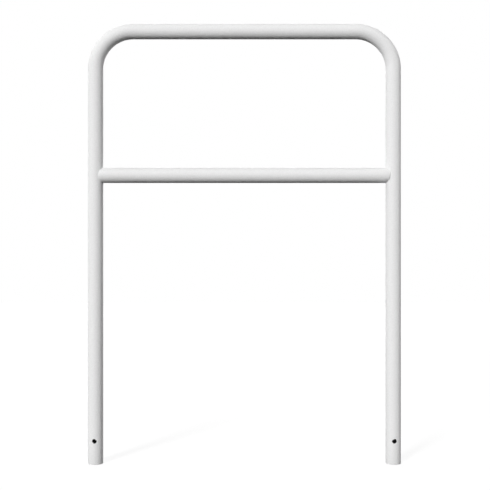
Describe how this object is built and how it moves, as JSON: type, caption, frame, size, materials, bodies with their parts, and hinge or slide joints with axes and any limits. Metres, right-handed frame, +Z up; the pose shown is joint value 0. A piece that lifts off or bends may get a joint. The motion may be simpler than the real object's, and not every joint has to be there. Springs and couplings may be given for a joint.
{
  "type": "hoop barrier",
  "caption": "Tubular steel hoop barrier: one tube bent into two legs and a top, with a coped and welded cross rail and an anchor hole through each leg.",
  "frame": {"origin": "midway between the two legs, in the middle plane of the tube, level with the legs' lower ends", "axes": "+X from the left leg to the right leg as seen from the front, -Y to the front, +Z up along the legs"},
  "size_m": [1, 0.0482, 1.404],
  "materials": {
    "white_powder_coat": "satin, fine texture"
  },
  "bodies": {
    "root": {"hoop_tube": "white_powder_coat", "cross_rail": "white_powder_coat", "left_weld": "white_powder_coat", "right_weld": "white_powder_coat"}
  },
  "joints": []
}
